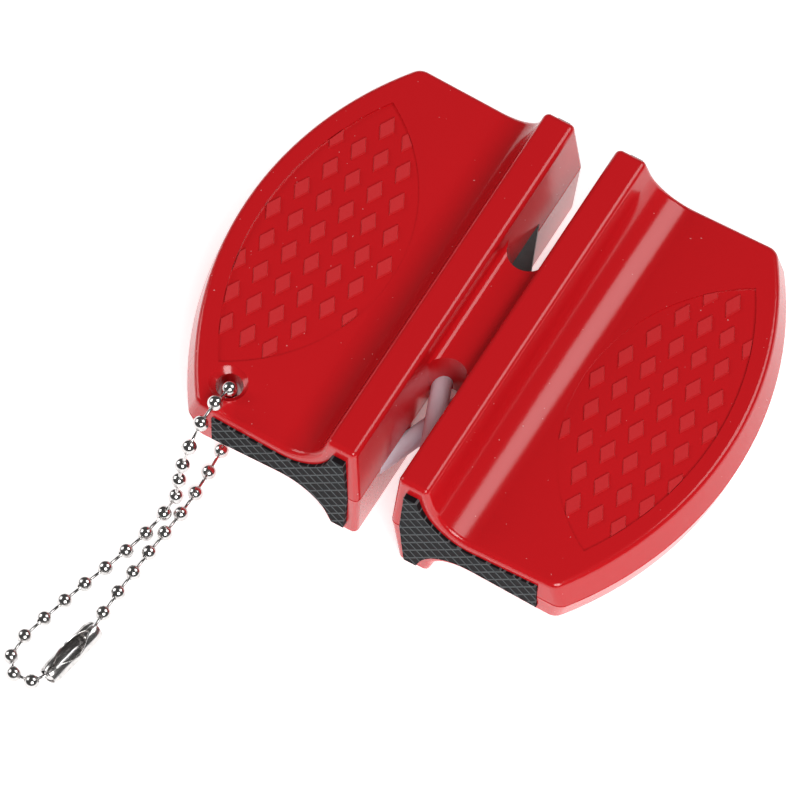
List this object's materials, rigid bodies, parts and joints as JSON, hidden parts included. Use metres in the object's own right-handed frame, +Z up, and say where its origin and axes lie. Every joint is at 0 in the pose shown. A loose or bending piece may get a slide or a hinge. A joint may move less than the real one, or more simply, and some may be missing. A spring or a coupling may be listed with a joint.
{
  "type": "pocket edge sharpener",
  "caption": "Reversible pull-through edge sharpener: crossed ceramic rods in one slot, crossed carbide blades in the other, with a ball chain.",
  "frame": {"origin": "bottom centre of the housing, on the surface its two rails stand on; the chain is left out", "axes": "+X across the rails to the wing without the chain, +Y along the knife slots towards the carbide blades, +Z up"},
  "size_m": [0.072, 0.095, 0.0208],
  "materials": {
    "shell_red": "gloss moulded ABS",
    "pad_black": "cross-hatched",
    "ceramic_white": "fine ground ceramic, matt",
    "carbide_grey": "ground, dark",
    "nickel_plate": "bright nickel plate"
  },
  "bodies": {
    "housing": {"bottom_shell": "shell_red", "carbide_blade_lower": "carbide_grey", "carbide_blade_upper": "carbide_grey", "ceramic_rod_lower": "ceramic_white", "ceramic_rod_upper": "ceramic_white", "end_pad_far_left": "pad_black", "end_pad_far_right": "pad_black", "end_pad_near_left": "pad_black", "end_pad_near_right": "pad_black", "top_shell": "shell_red"},
    "chain_neck": {"chain_neck_lower_beads": "nickel_plate", "chain_neck_lower_pins": "nickel_plate", "chain_neck_upper_beads": "nickel_plate", "chain_neck_upper_pins": "nickel_plate"},
    "chain_middle": {"chain_middle_lower_beads": "nickel_plate", "chain_middle_lower_pins": "nickel_plate", "chain_middle_upper_beads": "nickel_plate", "chain_middle_upper_pins": "nickel_plate"},
    "chain_outer": {"chain_outer_lower_beads": "nickel_plate", "chain_outer_lower_pins": "nickel_plate", "chain_outer_upper_beads": "nickel_plate", "chain_outer_upper_pins": "nickel_plate"},
    "chain_tail": {"chain_tail_beads": "nickel_plate", "chain_tail_pins": "nickel_plate"},
    "connector": {"chain_connector": "nickel_plate"}
  },
  "joints": [
    {"name": "chain_swing", "type": "hinge", "parent": "housing", "child": "chain_neck", "pos_m": [-0.0235, -0.0234, 0.0104], "axis": [0, 0, 1], "range_deg": [-60, 40]},
    {"name": "middle_lift", "type": "hinge", "parent": "chain_neck", "child": "chain_middle", "pos_m": [-0.02375, -0.0429, 0.00105], "axis": [-0.9013, -0.4333, 0], "range_deg": [0, 24]},
    {"name": "outer_lift", "type": "hinge", "parent": "chain_middle", "child": "chain_outer", "pos_m": [-0.0242, -0.04965, 0.00105], "axis": [-0.9701, -0.2425, 0], "range_deg": [0, 24]},
    {"name": "tail_lift", "type": "hinge", "parent": "chain_outer", "child": "chain_tail", "pos_m": [-0.0241, -0.0564, 0.0015], "axis": [-0.9845, -0.1601, -0.072], "range_deg": [0, 24]},
    {"name": "connector_spin", "type": "hinge", "parent": "chain_tail", "child": "connector", "pos_m": [-0.02475, -0.05995, 0.0015], "axis": [0.1801, 0.9836, 0], "continuous": true}
  ]
}
